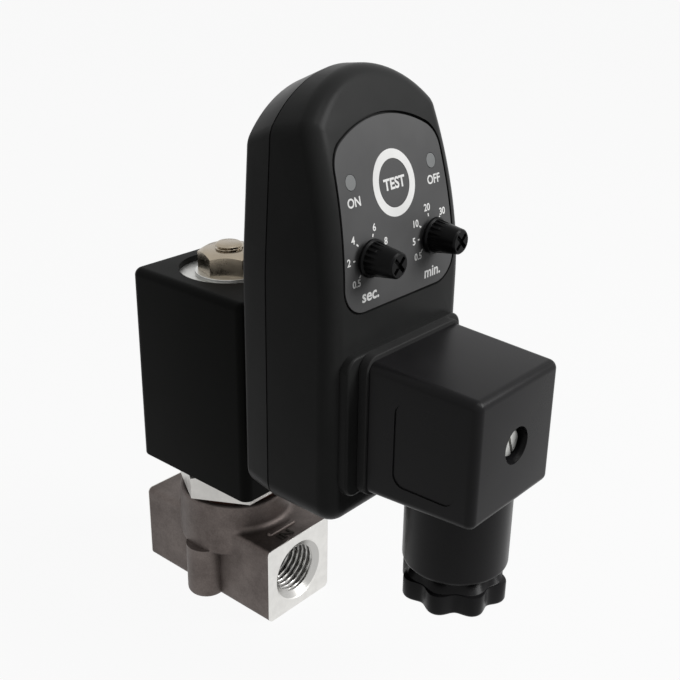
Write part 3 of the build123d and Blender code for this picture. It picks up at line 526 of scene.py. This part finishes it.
# ---------------------------------------------------------------- print and cast marks
def flat_text(words, height, weight=0.0):
    """Outline of words as a flat mesh with capitals of a height, centred on the origin in X and Y."""
    curve = bpy.data.curves.new("words", "FONT")
    curve.body = words
    curve.align_x = "CENTER"
    curve.size = 1.0
    curve.offset = weight
    curve.extrude = 0.5
    curve.resolution_u = 4
    holder = bpy.data.objects.new("words", curve)
    bpy.context.scene.collection.objects.link(holder)
    mesh = bpy.data.meshes.new_from_object(holder.evaluated_get(bpy.context.evaluated_depsgraph_get()))
    bpy.data.objects.remove(holder)
    bpy.data.curves.remove(curve)
    points = np.empty(len(mesh.vertices) * 3)
    mesh.vertices.foreach_get("co", points)
    points = points.reshape(-1, 3)
    low, high = points.min(axis=0), points.max(axis=0)
    points[:, :2] -= (low[:2] + high[:2]) / 2
    points[:, :2] *= height / (high[1] - low[1])
    points[:, 2] += 0.5
    return mesh, points


def print_words(name, words, y, z, height, thickness, weight=0.022):
    """Words printed on the panel: the flat outline's x becomes Y, its y becomes Z, and X is the front's
    curve at that height plus the ink's thickness."""
    mesh, flat = flat_text(words, height, weight)
    placed = np.empty_like(flat)
    placed[:, 1] = y + flat[:, 0]
    placed[:, 2] = z + flat[:, 1]
    placed[:, 0] = face_x(placed[:, 2]) + thickness * (flat[:, 2] - 0.4)
    mesh.vertices.foreach_set("co", (placed * MM).ravel())
    mesh.name = name
    obj = add_object(name, mesh)
    paint(obj, "label_grey", "ink")
    return hold(obj, "label_panel")


def print_ring(name, y, z, inner, outer, thickness, steps):
    """Printed ring: radius and angle on a grid, whose four rows go round the ring's flat cross-section."""
    radius = np.array([inner, inner, outer, outer, inner])
    lift = np.array([-0.4, 0.6, 0.6, -0.4, -0.4]) * thickness
    angle = np.arange(steps) * 2 * math.pi / steps
    r, a = np.meshgrid(radius, angle, indexing="ij")
    up = z + r * np.sin(a)
    points = np.stack([face_x(up) + lift[:, None], y + r * np.cos(a), up], axis=-1)
    obj = mesh_object(name, points, grid_faces(len(radius), steps))
    paint(obj, "label_grey", "ink")
    return hold(obj, "label_panel")


def print_ticks(name, marks, thickness):
    """Short printed lines: each is a flat bar along a radius from a knob's axis, all in one mesh."""
    corners = np.array([(0, -0.5), (1, -0.5), (1, 0.5), (0, 0.5)])
    points, faces = [], []
    for y, z, degrees, start, length, width in marks:
        turn = math.radians(degrees)
        along = start + corners[:, 0] * length
        across = corners[:, 1] * width
        side = y + along * math.cos(turn) - across * math.sin(turn)
        up = z + along * math.sin(turn) + across * math.cos(turn)
        first = len(points) * 4
        for lift in (-0.4, 0.6):
            points.append(np.stack([face_x(up) + lift * thickness, side, up], axis=-1))
        quads = np.array([(3, 2, 1, 0), (4, 5, 6, 7), (0, 1, 5, 4), (1, 2, 6, 5), (2, 3, 7, 6), (3, 0, 4, 7)])
        faces.append(quads + first)
    obj = mesh_object(name, np.concatenate(points), np.concatenate(faces))
    paint(obj, "label_grey", "ink")
    return hold(obj, "label_panel")


def cast_words(name, words, x, y, height, relief, stretch_y=1.0):
    """Words cast on top of the port block, in a dark colour that is painted shade of the letters: the flat
    outline's x becomes Y and its y becomes -X.
    """
    mesh, flat = flat_text(words, height, 0.02)
    height_z = BLOCK_TOP - 0.1 + (relief + 0.1) * flat[:, 2]
    placed = np.stack([x - flat[:, 1], y + flat[:, 0] * stretch_y, height_z], axis=-1)
    mesh.vertices.foreach_set("co", (placed * MM).ravel())
    obj = add_object(name, mesh)
    paint(obj, "cast_stainless", "cast_mark")
    return hold(obj, "valve_body")


def cast_bar(name, x, width, y_from, y_to, relief):
    """Raised bar cast on the block's top, with a round-backed section carried along Y and rounded ends."""
    along = np.linspace(0, 1, 17)
    around = np.linspace(0, math.pi, 13)
    a, t = np.meshgrid(along, around, indexing="ij")
    end = np.sqrt(np.clip(1 - (2 * a - 1) ** 14, 0, 1))
    points = np.stack([x + width / 2 * np.cos(t) * end, y_from + (y_to - y_from) * a,
                       BLOCK_TOP - 0.05 + relief * np.sin(t) ** 0.6 * end], axis=-1)
    obj = mesh_object(name, points, grid_faces(len(along), len(around), wrap=False))
    paint(obj, "cast_stainless")
    return hold(obj, "valve_body")


# ---------------------------------------------------------------- operators
class DRAINVALVE_OT_finishes(bpy.types.Operator):
    """Make the materials of the valve"""
    bl_idname = "drainvalve.finishes"
    bl_label = "Finishes"

    def execute(self, context):
        build_finishes(context.scene.valve_finishes)
        return {"FINISHED"}


class DRAINVALVE_OT_body(bpy.types.Operator):
    """Dress the cast body, cut its port threads and add its cast marks"""
    bl_idname = "drainvalve.body"
    bl_label = "Valve body"

    def execute(self, context):
        details = context.scene.valve_details
        dress("valve_body", "cast_stainless", details.edge, edit=self.open_ports)
        for side, port in ((1, "inlet_thread"), (-1, "outlet_thread")):
            self.cut_thread(port, side, details)
        dress("body_seal_ring", "seal_rubber", 0.1 * MM)
        dress("bonnet", "stainless", details.edge)
        dress("guide_tube", "stainless")
        relief = details.cast_relief / MM
        # The word's dark colour is painted shade of the letters.
        cast_words("inlet_word", "IN", 18.2, -2.1, 2.2, 0.2, 1.35)
        cast_bar("inlet_bar", 15.7, 1.6, -5.2, 3.6, relief * 2)
        return {"FINISHED"}

    @staticmethod
    def open_ports(work):
        """Takes the plain bores' walls out of the body's copy."""
        walls = []
        for face in work.faces:
            on_wall = [abs(math.hypot(v.co.y, v.co.z - PORT_AXIS_Z * MM) - PORT_BORE_R * MM) < 0.02 * MM
                       and PORT_BORE_START - 0.05 < abs(v.co.x) / MM < PORT_BORE_END + 0.05
                       for v in face.verts]
            across = max(v.co.x for v in face.verts) - min(v.co.x for v in face.verts)
            if all(on_wall) and across > 1.0 * MM:
                walls.append(face)
        if not walls:
            raise RuntimeError("the port bores' walls were not found")
        bmesh.ops.delete(work, geom=walls, context="FACES")

    @staticmethod
    def cut_thread(name, side, details):
        """Wall of a port: its radius is the bore's plus the thread's depth times the thread profile."""
        s, a, r = screw_wall(PORT_BORE_START - 0.02, PORT_BORE_END + 0.02, PORT_BORE_R,
                             details.thread_depth / MM, details.thread_pitch / MM, 0.5, details.round_steps)
        points = np.stack([side * s, r * np.cos(a), PORT_AXIS_Z + r * np.sin(a)], axis=-1)
        faces = grid_faces(s.shape[0], s.shape[1])
        obj = mesh_object(name, points, faces if side < 0 else faces[:, ::-1])
        obj.data.flip_normals()
        turn_towards_axis(obj)
        paint(obj, "cast_stainless")
        hold(obj, "valve_body")


def turn_towards_axis(obj):
    """Turns an open bore wall so that its faces look at the port's axis."""
    face = obj.data.polygons[len(obj.data.polygons) // 2]
    inward = Vector((0, -face.center.y, PORT_AXIS_Z * MM - face.center.z))
    if face.normal.dot(inward) < 0:
        obj.data.flip_normals()


class DRAINVALVE_OT_coil(bpy.types.Operator):
    """Dress the coil, its washer and nut, and thread the stud"""
    bl_idname = "drainvalve.coil"
    bl_label = "Coil"

    def execute(self, context):
        details = context.scene.valve_details
        dress("coil_housing", "coil_black", 0.1 * MM)
        dress("coil_yoke", "yoke_steel", 0.1 * MM)
        dress("coil_washer", "zinc_steel", 0.12 * MM)
        dress("coil_nut", "nickel_brass", 0.1 * MM)
        core = dress("fixed_core", "stainless", edit=self.open_stud)
        if core is None:
            raise RuntimeError("the core was not dressed")
        self.thread_stud(details)
        finish_nodes({"coil_bobbin": "bobbin_white", "coil_winding": "copper",
                      "coil_terminals": "contact_tin", "coil_screw_insert": "brass"})
        return {"FINISHED"}

    @staticmethod
    def open_stud(work):
        """Takes the plain stud out of the core's copy."""
        stud = [face for face in work.faces
                if all(math.hypot(v.co.x, v.co.y) < (STUD_R + 0.02) * MM
                       and v.co.z > STUD_FOOT * MM - 1.2 * MM for v in face.verts)]
        bmesh.ops.delete(work, geom=stud, context="FACES")

    @staticmethod
    def thread_stud(details):
        """Stud: the thread profile taken off its radius over its height, and a chamfered, closed end."""
        steps = details.round_steps
        s, a, r = screw_wall(STUD_FOOT - 1.0, STUD_TOP - 0.45, STUD_R, -details.stud_depth / MM,
                             details.stud_pitch / MM, 0.3, steps)
        tip_r = np.array([STUD_R - 0.45, STUD_R - 0.6, 0.0])
        tip_z = np.array([STUD_TOP - 0.06, STUD_TOP, STUD_TOP])
        tip_shape = (3, steps)
        height = np.concatenate([s, np.broadcast_to(tip_z[:, None], tip_shape)])
        radius = np.concatenate([r, np.broadcast_to(tip_r[:, None], tip_shape)])
        angle = np.concatenate([a, a[:3]])
        points = np.stack([radius * np.cos(angle), radius * np.sin(angle), height], axis=-1)
        obj = mesh_object("stud_thread", points, grid_faces(height.shape[0], steps))
        paint(obj, "stainless", "nickel_brass")
        hold(obj, "fixed_core")


class DRAINVALVE_OT_timer(bpy.types.Operator):
    """Dress the timer's two shells, its seal and its screws"""
    bl_idname = "drainvalve.timer"
    bl_label = "Timer case"

    def execute(self, context):
        dress("timer_rear_shell", "timer_black", 0.16 * MM, 40)
        dress("timer_front_shell", "timer_black", 0.16 * MM, 40)
        dress("timer_gasket", "grey_rubber", 0.25 * MM)
        dress("timer_case_screws", "zinc_steel")
        finish_nodes({"timer_sockets": "contact_tin", "timer_pins": "contact_tin",
                      "timer_board": "board_green", "board_parts": "relay_blue",
                      "potentiometers": "pot_blue", "tact_switch": "black_rubber"})
        return {"FINISHED"}


class DRAINVALVE_OT_panel(bpy.types.Operator):
    """Lay the label, its print, the lamps and the test button"""
    bl_idname = "drainvalve.panel"
    bl_label = "Timer panel"

    def execute(self, context):
        details = context.scene.valve_details
        ink = details.ink_height / MM
        dress("label_panel", "label_grey", 0.2 * MM)
        dress("test_button", "label_grey", 0.06 * MM)
        dress("on_lamp", "lamp_grey")
        dress("off_lamp", "lamp_grey")
        ring = (details.ring_inner / MM, details.ring_outer / MM)
        print_ring("button_ring", 0.0, BUTTON_Z, ring[0], ring[1], ink, details.round_steps)
        word = details.word_height / MM
        test = print_words("test_word", "TEST", 0.0, BUTTON_Z, word * 1.25, ink, 0.03)
        test.parent = None
        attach(test, "test_button")
        print_words("on_word", "ON", -LAMP_Y, LAMP_WORD_Z, word, ink)
        print_words("off_word", "OFF", LAMP_Y, LAMP_WORD_Z, word, ink)
        print_words("seconds_word", "sec.", -9.2, 86.5, word * 0.98, ink)
        print_words("minutes_word", "min.", 9.6, 86.6, word * 1.25, ink)
        self.print_dials(details)
        return {"FINISHED"}

    @staticmethod
    def print_dials(details):
        """Numbers and ticks of the two dials, on a circle round each knob."""
        ink = details.ink_height / MM
        dials = {
            "seconds": (-KNOB_Y, (("0.5", 228), ("2", 178), ("4", 135), ("6", 66), ("8", 20), ("10", -40))),
            "minutes": (KNOB_Y, (("0.5", 217), ("5", 182), ("10", 146), ("20", 98), ("30", 44), ("45", -35))),
        }
        for dial, (y, numbers) in dials.items():
            for index, (number, degrees) in enumerate(numbers):
                radius = details.dial_radius / MM
                turn = math.radians(degrees)
                print_words(f"{dial}_number_{index}", number, y + radius * math.cos(turn),
                            KNOB_Z + radius * math.sin(turn), details.number_height / MM, ink)
            marks = [(y, KNOB_Z, degrees, 3.65, 0.6, 0.3) for number, degrees in numbers]
            print_ticks(f"{dial}_ticks", marks, ink)


class DRAINVALVE_OT_knobs(bpy.types.Operator):
    """Dress the two trimmer knobs"""
    bl_idname = "drainvalve.knobs"
    bl_label = "Knobs"

    def execute(self, context):
        for name in ("seconds_knob", "minutes_knob"):
            dress(name, "knob_black", 0.07 * MM)
        return {"FINISHED"}


class DRAINVALVE_OT_plug(bpy.types.Operator):
    """Dress the cable plug, its seal and its screw"""
    bl_idname = "drainvalve.plug"
    bl_label = "Cable plug"

    def execute(self, context):
        dress("plug_housing", "plug_black", 0.12 * MM)
        dress("plug_gasket", "grey_rubber", 0.25 * MM)
        dress("plug_screw", "zinc_steel", 0.08 * MM)
        dress("plug_screw_seal", "black_rubber")
        finish_nodes({"plug_terminal_block": "plug_black", "plug_contacts": "contact_tin",
                      "plug_terminal_screws": "brass"})
        return {"FINISHED"}


class DRAINVALVE_OT_gland(bpy.types.Operator):
    """Dress the cable gland"""
    bl_idname = "drainvalve.gland"
    bl_label = "Cable gland"

    def execute(self, context):
        self.turn_lobed_nut(context.scene.valve_details)
        dress("gland_grommet", "black_rubber", 0.1 * MM)
        finish_nodes({"gland_washer": "bobbin_white"})
        return {"FINISHED"}

    @staticmethod
    def turn_lobed_nut(details):
        """Pressure nut: rows of a turned profile by angle. A row's radius is the profile's, less the
        hollows' depth times half of one minus the cosine of eight turns, raised to a power that keeps
        the lobes wide."""
        low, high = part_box("gland_nut")
        axis_x, z_low, z_top = (low[0] + high[0]) / 2 / MM, low[2] / MM, high[2] / MM
        rim = np.linspace(0, math.pi / 2, 6)
        rim_r = NUT_R - NUT_RIM + NUT_RIM * np.sin(rim)
        rim_z = z_low + NUT_RIM * (1 - np.cos(rim))
        flange, collar = z_low + NUT_FLANGE, z_low + NUT_HEAD
        upper_r = [NUT_R, NUT_R - 0.08, NUT_R - 0.35, NUT_COLLAR_R, NUT_COLLAR_R - 0.2, NUT_COLLAR_TOP_R,
                   NUT_COLLAR_TOP_R - 0.15, NUT_SPIGOT_R, NUT_SPIGOT_R, NUT_BORE_R]
        upper_z = [flange - 0.35, flange - 0.1, flange, flange + 0.02, flange + 0.12, collar - 0.08,
                   collar, collar, z_top, z_top]
        radius = np.concatenate([[NUT_BORE_R, NUT_BORE_R], rim_r, upper_r])
        height = np.concatenate([[z_top, z_low], rim_z, upper_z])
        share = np.concatenate([[0, 0], np.ones(len(rim)), [1, 1, 1, 0.62, 0.55, 0.1, 0, 0, 0, 0]])
        angle = np.arange(details.round_steps * 2) * math.pi / details.round_steps
        r, a = np.meshgrid(radius, angle, indexing="ij")
        hollow = (0.5 - 0.5 * np.cos(NUT_LOBES * (a - math.radians(NUT_TURN)))) ** NUT_WIDE
        r = r - NUT_HOLLOW * share[:, None] * hollow
        up = np.broadcast_to(height[:, None], r.shape)
        points = np.stack([axis_x + r * np.cos(a), r * np.sin(a), up], axis=-1)
        nut = mesh_object("gland_nut_looks", points, grid_faces(len(radius), len(angle)))
        paint(nut, "plug_black")
        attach(nut, BODY_OF["gland_nut"])
        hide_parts("gland_nut")


class DRAINVALVE_OT_armature(bpy.types.Operator):
    """Give the plunger and its seal their finishes, and dress the spring in a mesh of its own"""
    bl_idname = "drainvalve.armature"
    bl_label = "Armature"

    def execute(self, context):
        finish_nodes({"plunger": "stainless", "plunger_seal": "seal_rubber"})
        spring = dress("plunger_spring", "stainless", merge=False)
        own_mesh(spring)
        return {"FINISHED"}


class DRAINVALVE_OT_stage(bpy.types.Operator):
    """Set up the floor, the lamps, the world and the camera"""
    bl_idname = "drainvalve.stage"
    bl_label = "Stage"

    def execute(self, context):
        studio = context.scene.studio_settings
        self.lay_floor(studio)
        self.light_world(studio)
        for name, place, target, side in LAMPS:
            self.hang_lamp(name + "_lamp", place, target, side, getattr(studio, name + "_power"))
        self.set_camera(studio)
        view = context.scene.view_settings
        view.view_transform = "Standard"
        return {"FINISHED"}

    @staticmethod
    def lay_floor(studio):
        """Pale round floor that keeps the shadow and shows nearly white to the camera."""
        radius = np.array([0.0, 400.0, 4000.0])
        angle = np.arange(48) * 2 * math.pi / 48
        r, a = np.meshgrid(radius, angle, indexing="ij")
        points = np.stack([r * np.cos(a), r * np.sin(a), np.zeros_like(r)], axis=-1)
        floor = mesh_object("floor", points, grid_faces(3, 48))
        material, tree, shader = new_material("floor")
        shader.inputs["Base Color"].default_value = (*studio.floor, 1.0)
        shader.inputs["Roughness"].default_value = 0.9
        shader.inputs["Specular IOR Level"].default_value = 0.0
        glow = tree.nodes.new("ShaderNodeEmission")
        glow.inputs["Strength"].default_value = 1.0
        seen = seen_ray(tree)
        mix = tree.nodes.new("ShaderNodeMixShader")
        tree.links.new(math_node(tree, "MULTIPLY", seen, 0.94), mix.inputs[0])
        tree.links.new(shader.outputs[0], mix.inputs[1])
        tree.links.new(glow.outputs[0], mix.inputs[2])
        tree.links.new(mix.outputs[0], tree.nodes["Material Output"].inputs["Surface"])
        floor.data.materials.append(material)

    @staticmethod
    def light_world(studio):
        """World that lights at a plain level and is white to the camera and in reflections."""
        world = bpy.data.worlds.new("studio")
        bpy.context.scene.world = world
        world.use_nodes = True
        tree = world.node_tree
        plain = tree.nodes["Background"]
        plain.inputs["Color"].default_value = (1, 1, 1, 1)
        plain.inputs["Strength"].default_value = studio.world_level
        white = tree.nodes.new("ShaderNodeBackground")
        white.inputs["Strength"].default_value = 1.0
        white.inputs["Color"].default_value = (1, 1, 1, 1)
        seen = seen_ray(tree)
        mix = tree.nodes.new("ShaderNodeMixShader")
        tree.links.new(seen, mix.inputs[0])
        tree.links.new(plain.outputs[0], mix.inputs[1])
        tree.links.new(white.outputs[0], mix.inputs[2])
        tree.links.new(mix.outputs[0], tree.nodes["World Output"].inputs["Surface"])

    @staticmethod
    def hang_lamp(name, place, target, size, power):
        """Square soft lamp at a place, turned towards a target."""
        light = bpy.data.lights.new(name, "AREA")
        light.size = size
        light.energy = power
        lamp = bpy.data.objects.new(name, light)
        lamp.location = place
        lamp.rotation_euler = (Vector(target) - Vector(place)).to_track_quat("-Z", "Y").to_euler()
        bpy.context.scene.collection.objects.link(lamp)

    @staticmethod
    def set_camera(studio):
        """Camera from its place, azimuth, elevation and roll."""
        azimuth, elevation, roll = (math.radians(v) for v in CAMERA_TURN)
        back = Vector((math.sin(azimuth) * math.cos(elevation), -math.cos(azimuth) * math.cos(elevation),
                       math.sin(elevation)))
        right = Vector((math.cos(azimuth), math.sin(azimuth), 0))
        up = back.cross(right)
        turned_right = right * math.cos(roll) + up * math.sin(roll)
        turned_up = up * math.cos(roll) - right * math.sin(roll)
        camera_data = bpy.data.cameras.new("camera")
        camera_data.lens = studio.lens / MM
        camera_data.sensor_width = 36.0
        camera_data.clip_start = 0.01
        camera = bpy.data.objects.new("camera", camera_data)
        camera.matrix_world = Matrix((turned_right, turned_up, back)).transposed().to_4x4()
        camera.location = CAMERA_PLACE
        bpy.context.scene.collection.objects.link(camera)
        bpy.context.scene.camera = camera


PIECES = ("finishes", "body", "coil", "timer", "panel", "knobs", "plug", "gland", "armature", "stage")


class DRAINVALVE_PT_pieces(bpy.types.Panel):
    """Steps that dress the drain valve, in order"""
    bl_idname = "DRAINVALVE_PT_pieces"
    bl_label = "Drain Valve"
    bl_space_type = "VIEW_3D"
    bl_region_type = "UI"
    bl_category = "Drain Valve"

    def draw(self, context):
        for piece in PIECES:
            self.layout.operator(f"drainvalve.{piece}")
        for settings in SETTINGS:
            group = getattr(context.scene, settings)
            box = self.layout.box()
            for setting in group.bl_rna.properties:
                if setting.identifier not in {"rna_type", "name"}:
                    box.prop(group, setting.identifier)


CLASSES = (ValveFinishes, ValveDetails, StudioSettings, DRAINVALVE_OT_finishes, DRAINVALVE_OT_body,
           DRAINVALVE_OT_coil, DRAINVALVE_OT_timer, DRAINVALVE_OT_panel, DRAINVALVE_OT_knobs,
           DRAINVALVE_OT_plug, DRAINVALVE_OT_gland, DRAINVALVE_OT_armature, DRAINVALVE_OT_stage,
           DRAINVALVE_PT_pieces)
SETTINGS = {"valve_finishes": ValveFinishes, "valve_details": ValveDetails, "studio_settings": StudioSettings}


def register():
    for item in CLASSES:
        bpy.utils.register_class(item)
    for name, group in SETTINGS.items():
        setattr(bpy.types.Scene, name, PointerProperty(type=group))


def unregister():
    for name in SETTINGS:
        delattr(bpy.types.Scene, name)
    for item in reversed(CLASSES):
        bpy.utils.unregister_class(item)


def main():
    """Dresses the whole valve."""
    register()
    for piece in PIECES:
        getattr(bpy.ops.drainvalve, piece)()


if __name__ == "__main__":
    main()
